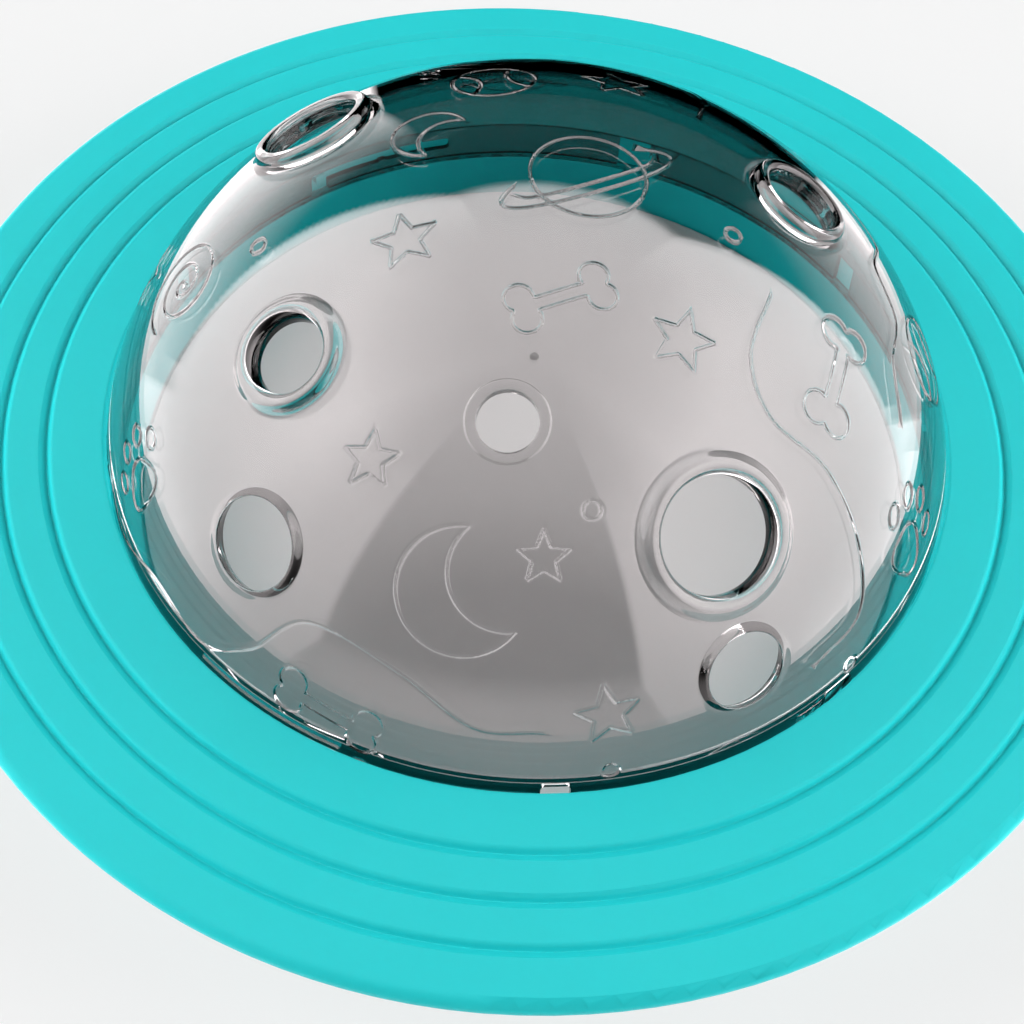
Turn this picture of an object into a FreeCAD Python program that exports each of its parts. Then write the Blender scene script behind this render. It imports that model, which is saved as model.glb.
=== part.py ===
import FreeCAD, Part
import math
import os

# Dog puzzle bowl: a wide saucer, a clear twist-on dome with treat holes, a white floor plate,
# screws and rubber feet. Millimetres, +Z up, origin on the ground under the centre of the bowl.

Vector = FreeCAD.Vector
ORIGIN = Vector(0, 0, 0)
UP = Vector(0, 0, 1)

# Stack from the ground to the flange
FOOT_STAND = 2.0            # how far a foot stands below the base plate
PLATE_T = 3.0               # flat border of the base plate
FLOOR_RISE = 4.0            # floor of the bowl above that border
FLOOR_T = 3.0               # floor thickness
GASKET_T = 1.0
WELL_DEPTH = 20.0           # flange, at its first groove, down to the floor
SEAT_DEPTH = 11.0           # flange, at its first groove, down to the ledge under the dome

# Saucer
SAUCER_R = 140.0            # outer edge of the flange
FLANGE_SLOPE = 0.07         # fall of the flange for each mm of radius
FLANGE_WALL = 2.6
RIM_DEPTH = 5.2             # height of the round bead at the edge
RIM_WIDTH = 6.0
RIM_ROUND = 2.5
INNER_TERRACE = 13.2        # from the well's edge to the first groove
GROOVE_PITCH = 9.85
GROOVE_WIDTH = 2.6
GROOVE_DEPTH = 1.3
GROOVE_LEAN = 0.35          # the groove's bottom lies this much inside its middle
GROOVE_LIP_ROUND = 1.2
GROOVE_FOOT_ROUND = 0.3
WELL_R = 95.7               # bore that the dome drops into
SEAT_WIDTH = 2.4            # ledge under the dome
WELL_TAPER = 3.3            # the wall under the ledge closes in by this much down to the floor
WELL_WALL = 2.5
WELL_EDGE_ROUND = 0.6
PEDESTAL_WALL = 2.2
PEDESTAL_ROOM = 10.9        # from the well's lower wall out to the pedestal
FLANGE_RIB_COUNT = 18
FLANGE_RIB_T = 1.8
FLANGE_RIB_DEPTH = 8.0

# Dome
DOME_HEIGHT = 69.8          # top of the dome above the flange's first groove
DOME_CENTRE_DROP = 13.3     # middle of the dome's ellipse below that groove
DOME_WALL = 2.8
DOME_FIT = 0.5              # radial room between the skirt and the well
SKIRT_JOIN_DROP = 0.3       # where the ellipse turns into the straight skirt
SKIRT_WALL = 1.4            # the skirt is thinner than the dome
SHOULDER_RISE = 2.0         # step inside the dome, above the flange's first groove
SKIRT_EDGE_ROUND = 0.4
DOME_ARC_STEPS = 8          # points that the dome's section runs through

# Treat holes: direction round the dome, lean of the hole from upright, bore and lip width
TREAT_HOLES = (
    (-95.4, 25.8, 12.2, 2.5),
    (-57.0, 42.6, 23.8, 3.3),
    (-148.5, 32.8, 15.8, 3.0),
    (-130.7, 53.2, 19.0, 2.6),
    (-58.0, 62.9, 17.0, 2.6),
    (145.5, 36.8, 21.8, 3.2),
    (22.5, 33.0, 17.6, 3.0),
)
LIP_HEIGHT = 1.6            # a lip above the dome
LIP_ROUND = 1.1
LIP_LEAN = 0.55             # the lip's outer side leans in by this much
FLARE_WIDTH = 2.4           # slope from the lip out to the dome's face
FLARE_RISE = 0.32           # height of that slope where it meets the lip
FLARE_ROUND = 1.6
FLARE_SINK = 0.35           # its outer edge lies this much below the dome's face
BORE_CHAMFER = 0.6          # at the dome's inner face

# Bayonet, three times round
LOCK_COUNT = 3
PEG_AZIMUTH = 127.7
PEG_WIDTH = 2.6
PEG_HEIGHT = 2.3
PEG_REACH = 2.3             # how far a peg stands into the well
PEG_ROOM_ABOVE = 0.5
PEG_ROOM_BELOW = 0.8
PEG_SIDE_ROOM = 1.2
SLOT_TURN = 21.7            # from the middle of the entry to the closed end, degrees
SLOT_TOP_DROP = 3.0         # below the flange's first groove
DETENT_HEIGHT = 0.5
DETENT_ANGLE = 1.2
DETENT_TUCK = 0.5           # its foot inside the skirt
WIDE_GAP_AZIMUTH = 76.5
WIDE_GAP_ANGLE = 5.0
NARROW_GAP_AZIMUTH = 36.6
NARROW_GAP_ANGLE = 3.7
GAP_BRIDGE = 0.4            # skirt left between a gap and the shoulder
MARK_AZIMUTH = 71.5
MARK_WIDTH = 8.0
MARK_HEIGHT = 7.6
MARK_MARGIN = 0.6           # from the top of a gap down to the mark
MARK_DEPTH = 0.35

# Seal ring under the skirt
SEAL_T = 1.2
SEAL_ROUND = 0.3
SEAL_LIP = 0.4              # how far the seal shows inside the skirt
SEAL_ROOM = 0.3             # radial room between the seal and the well

# Base plate, screws and feet
FLOOR_ROOM = 0.3            # radial room round the floor inside the well
PLATE_ROOM = 0.2            # radial room round the plate inside the pedestal
PLATE_HIDDEN = 0.2          # the pedestal ends this much above the plate's underside
PLATE_STEP_T = 2.6
PLATE_RIB_COUNT = 12
PLATE_RIB_T = 1.6
PLATE_RIB_DEPTH = 3.0
PLATE_RING_R = 45.0
PLATE_HUB_R = 16.0
GASKET_ROOM = 0.4
SCREW_COUNT = 6
SCREW_R = 1.5
SCREW_LENGTH = 9.0          # under the head
SCREW_HEAD_R = 2.9
SCREW_HEAD_T = 1.6
SCREW_HEAD_ROUND = 0.8
SCREW_TIP = 1.6
SCREW_SLOT_T = 0.8
SCREW_SLOT_DEPTH = 0.9
SCREW_ROOM = 0.1
PILOT_ROOM = 0.5            # the pilot hole runs this much past the screw's tip
BOSS_WALL = 2.0
BOSS_RIB_T = 1.8
FOOT_COUNT = 6
FOOT_R = 6.5
FOOT_POCKET = 1.0
FOOT_ROOM = 0.1
FOOT_ROUND = 0.8
OVERLAP = 1.0               # how far a cut or a joined rib runs past a face
SAME_POINT = 1e-6           # two corners nearer than this are one

# Heights
plate_bottom = FOOT_STAND
plate_top = plate_bottom + PLATE_T
floor_top = plate_top + FLOOR_RISE
gasket_top = plate_top + GASKET_T
flange_z = floor_top + WELL_DEPTH
seat_z = flange_z - SEAT_DEPTH
seat_underside = seat_z - WELL_WALL
skirt_bottom = seat_z + SEAL_T
shoulder_z = flange_z + SHOULDER_RISE
gap_top = shoulder_z - GAP_BRIDGE
screw_tip_z = plate_bottom + SCREW_HEAD_T + SCREW_LENGTH

# Radii
groove_r = WELL_R + INNER_TERRACE
ledge_r = WELL_R - SEAT_WIDTH
lower_r = ledge_r - WELL_TAPER
lower_outer_r = lower_r + WELL_WALL
taper = WELL_TAPER / (seat_z - gasket_top)
ledge_outer_r = lower_outer_r + taper * (seat_underside - gasket_top)
pedestal_inner_r = lower_outer_r + PEDESTAL_ROOM
pedestal_r = pedestal_inner_r + PEDESTAL_WALL
boss_circle_r = (lower_outer_r + pedestal_inner_r) / 2
floor_r = lower_r - FLOOR_ROOM
plate_r = pedestal_inner_r - PLATE_ROOM
skirt_r = WELL_R - DOME_FIT
skirt_inner_r = skirt_r - SKIRT_WALL
peg_tip_r = WELL_R - PEG_REACH

# Half axes of the dome's outer face: the ellipse meets the skirt at SKIRT_JOIN_DROP
dome_centre_z = flange_z - DOME_CENTRE_DROP
dome_half_height = DOME_HEIGHT + DOME_CENTRE_DROP
join_height = DOME_CENTRE_DROP - SKIRT_JOIN_DROP
dome_half_width = skirt_r / math.sqrt(1 - (join_height / dome_half_height) ** 2)

# Bayonet heights
slot_top = flange_z - SLOT_TOP_DROP
peg_top = slot_top - PEG_ROOM_ABOVE
peg_bottom = peg_top - PEG_HEIGHT
slot_bottom = peg_bottom - PEG_ROOM_BELOW


def flange_top(r):
    """Height of the flange's upper face at a radius."""
    return flange_z + FLANGE_SLOPE * (groove_r - r)


def outline(corners):
    """Face in the XZ plane from corners of (radius, height, rounding)."""
    count = len(corners)
    spots = [Vector(r, 0, z) for r, z, rounding in corners]
    turns = []
    for index, here in enumerate(spots):
        rounding = corners[index][2]
        if rounding == 0:
            turns.append((here, None, here))
            continue
        back = (spots[index - 1] - here).normalize()
        ahead = (spots[(index + 1) % count] - here).normalize()
        half = back.getAngle(ahead) / 2
        reach = rounding / math.tan(half)
        inward = (back + ahead).normalize()
        middle = here + inward * (rounding / math.sin(half) - rounding)
        turns.append((here + back * reach, middle, here + ahead * reach))
    edges = []
    for index, (start, middle, end) in enumerate(turns):
        if middle is not None:
            edges.append(Part.Arc(start, middle, end).toShape())
        following = turns[(index + 1) % count][0]
        if (following - end).Length > SAME_POINT:
            edges.append(Part.LineSegment(end, following).toShape())
    return Part.Face(Part.Wire(edges))


def spun(corners, angle=360.0, start=0.0):
    """Solid of revolution about Z from an outline, from one azimuth over an angle."""
    solid = outline(corners).revolve(ORIGIN, UP, angle)
    if start != 0:
        solid.rotate(ORIGIN, UP, start)
    return solid


def block(low_r, high_r, width, low_z, high_z):
    """Box that lies along +X from one radius to another, with its middle plane on XZ."""
    return Part.makeBox(high_r - low_r, width, high_z - low_z, Vector(low_r, -width / 2, low_z))


def upright(points, thickness):
    """Plate of a given thickness from points of (radius, height), middle plane on XZ."""
    spots = [Vector(r, -thickness / 2, z) for r, z in points]
    return Part.Face(Part.makePolygon(spots + spots[:1])).extrude(Vector(0, thickness, 0))


def turned(solid, azimuth):
    """Copy of a solid turned about Z."""
    copy = solid.copy()
    copy.rotate(ORIGIN, UP, azimuth)
    return copy


def ring_of(solid, count, first=0.0):
    """Copies of a solid, evenly spaced about Z."""
    return [turned(solid, first + 360.0 * index / count) for index in range(count)]


def groove_radii():
    """Radii of the ring grooves: as many as fit between the first one and the bead."""
    last = SAUCER_R - RIM_WIDTH - GROOVE_WIDTH / 2
    radii = []
    r = groove_r
    while r < last:
        radii.append(r)
        r += GROOVE_PITCH
    return radii


def saucer_corners():
    """Section of the saucer: flange, grooves, bead, pedestal and the stepped well."""
    corners = [(WELL_R, flange_top(WELL_R), WELL_EDGE_ROUND)]
    for r in groove_radii():
        inner = r - GROOVE_WIDTH / 2
        outer = r + GROOVE_WIDTH / 2
        middle = r - GROOVE_LEAN
        corners.append((inner, flange_top(inner), GROOVE_LIP_ROUND))
        corners.append((middle, flange_top(middle) - GROOVE_DEPTH, GROOVE_FOOT_ROUND))
        corners.append((outer, flange_top(outer), GROOVE_FOOT_ROUND))
    bead_r = SAUCER_R - RIM_WIDTH
    bead_bottom = flange_top(SAUCER_R) - RIM_DEPTH
    corners += [
        (SAUCER_R, flange_top(SAUCER_R), RIM_ROUND),
        (SAUCER_R, bead_bottom, RIM_ROUND),
        (bead_r, bead_bottom, GROOVE_FOOT_ROUND),
        (bead_r, flange_top(bead_r) - FLANGE_WALL, GROOVE_FOOT_ROUND),
        (pedestal_r, flange_top(pedestal_r) - FLANGE_WALL, 0),
        (pedestal_r, plate_bottom + PLATE_HIDDEN, 0),
        (pedestal_inner_r, plate_bottom + PLATE_HIDDEN, 0),
        (pedestal_inner_r, flange_top(pedestal_inner_r) - FLANGE_WALL, 0),
        (WELL_R + WELL_WALL, flange_top(WELL_R + WELL_WALL) - FLANGE_WALL, 0),
        (WELL_R + WELL_WALL, seat_underside, 0),
        (ledge_outer_r, seat_underside, 0),
        (lower_outer_r, gasket_top, 0),
        (lower_r, gasket_top, 0),
        (ledge_r, seat_z, GROOVE_FOOT_ROUND),
        (WELL_R, seat_z, 0),
    ]
    return corners


def flange_rib():
    """Stiffening web under the flange, from the pedestal out to the bead."""
    start = pedestal_r - OVERLAP
    end = SAUCER_R - RIM_WIDTH + OVERLAP
    tuck = FLANGE_WALL / 2
    return upright(
        (
            (start, flange_top(start) - tuck),
            (end, flange_top(end) - tuck),
            (end, flange_top(end) - FLANGE_WALL - OVERLAP),
            (start, flange_top(start) - FLANGE_WALL - FLANGE_RIB_DEPTH),
        ),
        FLANGE_RIB_T,
    )


def screw_boss():
    """Boss for one screw with the web that ties it to both walls."""
    post = Part.makeCylinder(
        SCREW_R + SCREW_ROOM + BOSS_WALL,
        seat_underside + OVERLAP - plate_top,
        Vector(boss_circle_r, 0, plate_top),
    )
    tuck = WELL_WALL / 2
    web = upright(
        (
            (lower_outer_r - tuck, gasket_top + OVERLAP),
            (pedestal_inner_r + OVERLAP, gasket_top + OVERLAP),
            (pedestal_inner_r + OVERLAP, seat_underside + tuck),
            (ledge_outer_r - tuck, seat_underside + tuck),
        ),
        BOSS_RIB_T,
    )
    return post.fuse(web)


def make_saucer():
    """Teal saucer with its ribs, screw bosses and bayonet pegs."""
    body = spun(saucer_corners())
    extras = ring_of(flange_rib(), FLANGE_RIB_COUNT)
    extras += ring_of(screw_boss(), SCREW_COUNT)
    peg = block(peg_tip_r, WELL_R + OVERLAP, PEG_WIDTH, peg_bottom, peg_top)
    extras += ring_of(peg, LOCK_COUNT, PEG_AZIMUTH)
    body = body.fuse(extras)
    pilot_start = plate_top - OVERLAP
    pilot = Part.makeCylinder(
        SCREW_R + SCREW_ROOM,
        screw_tip_z + PILOT_ROOM - pilot_start,
        Vector(boss_circle_r, 0, pilot_start),
    )
    return body.cut(ring_of(pilot, SCREW_COUNT)).removeSplitter()


def ellipse_arc(half_width, half_height, low_z):
    """Edge of the dome's section from a height up to the axis, with its two end points."""
    start = math.asin((low_z - dome_centre_z) / half_height)
    spots = []
    for step in range(DOME_ARC_STEPS + 1):
        angle = start + (math.pi / 2 - start) * step / DOME_ARC_STEPS
        r = half_width * math.cos(angle)
        spots.append(Vector(r, 0, dome_centre_z + half_height * math.sin(angle)))
    spots[-1].x = 0
    curve = Part.BSplineCurve()
    curve.interpolate(
        Points=spots,
        InitialTangent=Vector(-half_width * math.sin(start), 0, half_height * math.cos(start)),
        FinalTangent=Vector(-half_width, 0, 0),
    )
    return curve.toShape(), spots[0], spots[-1]


def dome_shell():
    """Clear dome and its thin straight skirt, before the holes and the bayonet are cut."""
    join_z = flange_z - SKIRT_JOIN_DROP
    outer, outer_low, outer_top = ellipse_arc(dome_half_width, dome_half_height, join_z)
    inner, inner_low, inner_top = ellipse_arc(
        dome_half_width - DOME_WALL, dome_half_height - DOME_WALL, shoulder_z
    )
    edge_z = skirt_bottom + SKIRT_EDGE_ROUND
    skirt = (
        outer_low,
        Vector(skirt_r, 0, edge_z),
        Vector(skirt_r - SKIRT_EDGE_ROUND, 0, skirt_bottom),
        Vector(skirt_inner_r + SKIRT_EDGE_ROUND, 0, skirt_bottom),
        Vector(skirt_inner_r, 0, edge_z),
        Vector(skirt_inner_r, 0, shoulder_z),
        inner_low,
    )
    edges = [outer]
    for start, end in zip(skirt, skirt[1:]):
        edges.append(Part.LineSegment(start, end).toShape())
    edges.append(inner)
    edges.append(Part.LineSegment(inner_top, outer_top).toShape())
    section = Part.Face(Part.Wire(Part.__sortEdges__(edges)))
    return section.revolve(ORIGIN, UP, 360)


def hole_place(azimuth, lean):
    """Point on the dome's outer face, its normal and the mean radius of curvature there."""
    side = math.sin(math.radians(lean))
    rise = math.cos(math.radians(lean))
    a = dome_half_width
    b = dome_half_height
    m = math.sqrt((a * side) ** 2 + (b * rise) ** 2)
    across = Vector(math.cos(math.radians(azimuth)), math.sin(math.radians(azimuth)), 0)
    point = across * (a * a * side / m) + UP * (dome_centre_z + b * b * rise / m)
    normal = across * side + UP * rise
    curvature = (m / a**2 + m**3 / (a * b) ** 2) / 2
    return point, normal, 1 / curvature


def placed(solid, point, normal):
    """Solid made about Z at the origin, moved to a point with Z along a normal."""
    solid.Placement = FreeCAD.Placement(point, FreeCAD.Rotation(UP, normal))
    return solid


def hole_lip(bore_r, lip, curve_r):
    """Rounded lip round one hole with its slope down to the dome's face."""
    foot_r = bore_r + lip + FLARE_WIDTH
    outer_r = bore_r + lip
    foot_z = -foot_r**2 / (2 * curve_r)
    return spun(
        (
            (0, -DOME_WALL / 2, 0),
            (foot_r, foot_z - DOME_WALL / 2, 0),
            (foot_r, foot_z - FLARE_SINK, 0),
            (outer_r, FLARE_RISE - outer_r**2 / (2 * curve_r), FLARE_ROUND),
            (outer_r - LIP_LEAN, LIP_HEIGHT, LIP_ROUND),
            (bore_r, LIP_HEIGHT, LIP_ROUND),
            (bore_r, 0, 0),
            (0, 0, 0),
        )
    )


def hole_bore(bore_r, curve_r):
    """Tool that cuts one hole, with the chamfer at the dome's inner face."""
    inner_z = -(bore_r**2) / (2 * curve_r) - DOME_WALL
    reach = DOME_WALL
    return spun(
        (
            (0, inner_z - reach, 0),
            (bore_r + BORE_CHAMFER + reach, inner_z - reach, 0),
            (bore_r, inner_z + BORE_CHAMFER, 0),
            (bore_r, LIP_HEIGHT + OVERLAP, 0),
            (0, LIP_HEIGHT + OVERLAP, 0),
        )
    )


def skirt_cut(low_z, high_z, azimuth, angle):
    """Sector that cuts through the skirt between two heights."""
    return spun(
        (
            (skirt_inner_r - OVERLAP, low_z, 0),
            (skirt_r + OVERLAP, low_z, 0),
            (skirt_r + OVERLAP, high_z, 0),
            (skirt_inner_r - OVERLAP, high_z, 0),
        ),
        angle,
        azimuth,
    )


def bayonet_cuts():
    """Cuts of one third of the skirt: entry, slot, two gaps and the position mark."""
    entry_half = math.degrees((PEG_WIDTH / 2 + PEG_SIDE_ROOM) / skirt_r)
    below = skirt_bottom - OVERLAP
    wide_start = WIDE_GAP_AZIMUTH - WIDE_GAP_ANGLE / 2
    narrow_start = NARROW_GAP_AZIMUTH - NARROW_GAP_ANGLE / 2
    entry_start = PEG_AZIMUTH - entry_half
    mark_top = gap_top - MARK_MARGIN
    mark_tip = mark_top - MARK_HEIGHT
    face_r = skirt_r - MARK_DEPTH
    mark = Part.Face(
        Part.makePolygon(
            [
                Vector(face_r, -MARK_WIDTH / 2, mark_top),
                Vector(face_r, MARK_WIDTH / 2, mark_top),
                Vector(face_r, 0, mark_tip),
                Vector(face_r, -MARK_WIDTH / 2, mark_top),
            ]
        )
    ).extrude(Vector(MARK_DEPTH + OVERLAP, 0, 0))
    return [
        skirt_cut(below, slot_top, entry_start, 2 * entry_half),
        skirt_cut(slot_bottom, slot_top, PEG_AZIMUTH - SLOT_TURN, SLOT_TURN),
        skirt_cut(below, gap_top, wide_start, WIDE_GAP_ANGLE),
        skirt_cut(below, gap_top, narrow_start, NARROW_GAP_ANGLE),
        turned(mark, MARK_AZIMUTH),
    ]


def detent():
    """Small step in the middle of one slot's lower edge."""
    return spun(
        (
            (skirt_inner_r, slot_bottom - DETENT_TUCK, 0),
            (skirt_r, slot_bottom - DETENT_TUCK, 0),
            (skirt_r, slot_bottom + DETENT_HEIGHT, 0),
            (skirt_inner_r, slot_bottom + DETENT_HEIGHT, 0),
        ),
        DETENT_ANGLE,
        PEG_AZIMUTH - SLOT_TURN / 2 - DETENT_ANGLE / 2,
    )


def make_dome():
    """Clear dome with its lipped holes and its bayonet skirt."""
    lips = []
    bores = []
    for azimuth, lean, bore, lip in TREAT_HOLES:
        point, normal, curve_r = hole_place(azimuth, lean)
        lips.append(placed(hole_lip(bore / 2, lip, curve_r), point, normal))
        bores.append(placed(hole_bore(bore / 2, curve_r), point, normal))
    body = dome_shell().fuse(lips).cut(bores).removeSplitter()
    third = 360.0 / LOCK_COUNT
    cuts = []
    steps = []
    for index in range(LOCK_COUNT):
        cuts += [turned(cut, third * index) for cut in bayonet_cuts()]
        steps.append(turned(detent(), third * index))
    return body.cut(cuts).fuse(steps)


def make_seal_ring():
    """Thin seal that lies on the ledge under the skirt."""
    inner_r = skirt_inner_r - SEAL_LIP
    outer_r = WELL_R - SEAL_ROOM
    return spun(
        (
            (inner_r, seat_z, SEAL_ROUND),
            (outer_r, seat_z, SEAL_ROUND),
            (outer_r, seat_z + SEAL_T, SEAL_ROUND),
            (inner_r, seat_z + SEAL_T, SEAL_ROUND),
        )
    )


def make_base_plate():
    """White floor plate: raised floor, flat border, ribs, screw holes and foot pockets."""
    under_floor = floor_top - FLOOR_T
    step_r = floor_r - PLATE_STEP_T
    body = spun(
        (
            (0, floor_top, 0),
            (floor_r, floor_top, GROOVE_FOOT_ROUND),
            (floor_r, plate_top, 0),
            (plate_r, plate_top, 0),
            (plate_r, plate_bottom, GROOVE_FOOT_ROUND),
            (step_r, plate_bottom, 0),
            (step_r, under_floor, 0),
            (0, under_floor, 0),
        )
    )
    rib_bottom = under_floor - PLATE_RIB_DEPTH
    rib = block(PLATE_HUB_R, step_r + OVERLAP, PLATE_RIB_T, rib_bottom, under_floor + OVERLAP)
    extras = ring_of(rib, PLATE_RIB_COUNT)
    for r in (PLATE_HUB_R, PLATE_RING_R):
        outer = r + PLATE_RIB_T
        extras.append(
            spun(
                (
                    (r, rib_bottom, 0),
                    (outer, rib_bottom, 0),
                    (outer, under_floor + OVERLAP, 0),
                    (r, under_floor + OVERLAP, 0),
                )
            )
        )
    body = body.fuse(extras)
    through = Part.makeCylinder(
        SCREW_R + SCREW_ROOM, PLATE_T + OVERLAP, Vector(boss_circle_r, 0, plate_bottom)
    )
    recess = Part.makeCylinder(
        SCREW_HEAD_R + SCREW_ROOM,
        SCREW_HEAD_T + OVERLAP,
        Vector(boss_circle_r, 0, plate_bottom - OVERLAP),
    )
    pocket = Part.makeCylinder(
        FOOT_R + FOOT_ROOM,
        FOOT_POCKET + OVERLAP,
        Vector(foot_circle_r(), 0, plate_bottom - OVERLAP),
    )
    cuts = ring_of(through.fuse(recess), SCREW_COUNT)
    cuts += ring_of(pocket, FOOT_COUNT, 180.0 / FOOT_COUNT)
    return body.cut(cuts).removeSplitter()


def foot_circle_r():
    """Radius of the circle of feet: the middle of the plate's flat border."""
    return (floor_r - PLATE_STEP_T + plate_r) / 2


def make_gasket():
    """Flat gasket between the base plate and the end of the well wall."""
    return spun(
        (
            (lower_r + GASKET_ROOM, plate_top, 0),
            (lower_outer_r - GASKET_ROOM, plate_top, 0),
            (lower_outer_r - GASKET_ROOM, gasket_top, 0),
            (lower_r + GASKET_ROOM, gasket_top, 0),
        )
    )


def make_screw():
    """Self-tapping screw, head down, with a cross recess."""
    head_z = plate_bottom
    seat = head_z + SCREW_HEAD_T
    body = spun(
        (
            (0, head_z, 0),
            (SCREW_HEAD_R, head_z, SCREW_HEAD_ROUND),
            (SCREW_HEAD_R, seat, 0),
            (SCREW_R, seat, 0),
            (SCREW_R, screw_tip_z - SCREW_TIP, 0),
            (0, screw_tip_z, 0),
        )
    )
    cross = []
    for angle in (0, 90):
        arm = Part.makeBox(
            2 * SCREW_R,
            SCREW_SLOT_T,
            SCREW_SLOT_DEPTH + OVERLAP,
            Vector(-SCREW_R, -SCREW_SLOT_T / 2, head_z - OVERLAP),
        )
        cross.append(turned(arm, angle))
    body = body.cut(cross)
    body.translate(Vector(boss_circle_r, 0, 0))
    return body


def make_foot():
    """Round rubber pad, pressed into the base plate."""
    body = spun(
        (
            (0, 0, 0),
            (FOOT_R, 0, FOOT_ROUND),
            (FOOT_R, FOOT_STAND + FOOT_POCKET, 0),
            (0, FOOT_STAND + FOOT_POCKET, 0),
        )
    )
    body.translate(Vector(foot_circle_r(), 0, 0))
    return body


def save(name, solid):
    """Write one piece and print what it measures."""
    box = solid.BoundBox
    solid.exportStep("parts/" + name + ".step")
    print(
        name,
        "solids", len(solid.Solids),
        "valid", solid.isValid(),
        "volume %.0f" % solid.Volume,
        "box %.1f %.1f %.1f to %.1f %.1f %.1f"
        % (box.XMin, box.YMin, box.ZMin, box.XMax, box.YMax, box.ZMax),
    )


os.makedirs("parts", exist_ok=True)
save("saucer", make_saucer())
save("dome", make_dome())
save("seal_ring", make_seal_ring())
save("base_plate", make_base_plate())
save("floor_gasket", make_gasket())
for number, screw in enumerate(ring_of(make_screw(), SCREW_COUNT), 1):
    save("screw_%d" % number, screw)
for number, foot in enumerate(ring_of(make_foot(), FOOT_COUNT, 180.0 / FOOT_COUNT), 1):
    save("foot_%d" % number, foot)
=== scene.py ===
"""Dog puzzle bowl: a teal saucer with ring grooves, a clear engraved dome with treat holes, a white floor."""

import logging
import math
from collections.abc import Callable
from dataclasses import dataclass, field
from enum import Enum
from functools import cached_property, partial

import bpy
import numpy as np
from mathutils import Matrix, Vector
from mathutils.geometry import delaunay_2d_cdt
from mathutils.kdtree import KDTree


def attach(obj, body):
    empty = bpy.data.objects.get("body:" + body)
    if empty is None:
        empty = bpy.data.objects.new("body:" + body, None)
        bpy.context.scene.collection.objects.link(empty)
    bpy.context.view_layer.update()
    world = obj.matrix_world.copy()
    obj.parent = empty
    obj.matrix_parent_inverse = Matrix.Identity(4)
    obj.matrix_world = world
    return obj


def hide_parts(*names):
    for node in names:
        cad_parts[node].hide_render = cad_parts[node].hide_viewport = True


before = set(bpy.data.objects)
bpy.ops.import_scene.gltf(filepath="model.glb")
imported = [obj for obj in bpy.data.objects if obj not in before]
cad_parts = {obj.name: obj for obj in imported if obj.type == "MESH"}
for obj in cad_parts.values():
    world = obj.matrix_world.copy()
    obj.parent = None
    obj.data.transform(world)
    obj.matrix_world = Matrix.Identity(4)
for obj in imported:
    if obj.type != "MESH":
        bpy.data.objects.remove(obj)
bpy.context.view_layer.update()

LOG = logging.getLogger("puzzle_bowl")
MM = 0.001
LEAST_LENGTH = 1e-12  # keeps the division by a vector's length safe
LEAST_RADIUS = 1e-9  # the same for a distance in millimetres
LEAST_POINTS = 3
ARC_STEP = 6  # degrees
JOIN_DISTANCE = 1e-7  # map points nearer than this are one point
NOISE_MIDDLE = 0.5
MIX_FACTOR, MIX_LOW, MIX_HIGH = 0, 6, 7  # inputs of the Mix node for colours
GLOSSY_BOUNCES = 3
TRANSMISSION_BOUNCES = 16
TRANSPARENT_BOUNCES = 24

Array = np.ndarray
Pair = tuple[float, float]
Triple = tuple[float, float, float]
Levels = tuple[float, ...]


class Value:
    """A shader socket that Python's operators build nodes on."""

    def __init__(self, shader: "Shader", socket: bpy.types.NodeSocket) -> None:
        """Wrap one output socket of a shader's tree."""
        self.shader = shader
        self.socket = socket

    def _combine(self, operation: str, other: "Value | float | tuple", swap: bool = False) -> "Value":
        """Join this socket and another value with one maths node.

        Args:
            operation: The name of the node's operation, such as ADD.
            other: A socket, a number or a colour.
            swap: Whether the other value comes first.

        Returns:
            The node's result.
        """
        pair = [other, self] if swap else [self, other]
        if self.socket.type == "VALUE":
            return self.shader.node("ShaderNodeMath", {"operation": operation}, dict(enumerate(pair)))
        if self.socket.type == "VECTOR":
            return self.shader.node("ShaderNodeVectorMath", {"operation": operation}, dict(enumerate(pair)))
        settings = {"data_type": "RGBA", "blend_type": operation}
        sockets = {MIX_FACTOR: 1.0, MIX_LOW: pair[0], MIX_HIGH: pair[1]}
        return self.shader.node("ShaderNodeMix", settings, sockets, "Result", "RGBA")

    def __add__(self, other: "Value | float") -> "Value":
        """Sum of two values."""
        return self._combine("ADD", other)

    def __sub__(self, other: "Value | float") -> "Value":
        """Difference of two values."""
        return self._combine("SUBTRACT", other)

    def __rsub__(self, other: float) -> "Value":
        """A number less this value."""
        return self._combine("SUBTRACT", other, swap=True)

    def __mul__(self, other: "Value | float") -> "Value":
        """Product of two values."""
        return self._combine("MULTIPLY", other)

    __radd__ = __add__
    __rmul__ = __mul__


def opaque(colour: Levels) -> Levels:
    """Colour with full alpha."""
    return colour + (1.0,)


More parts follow.
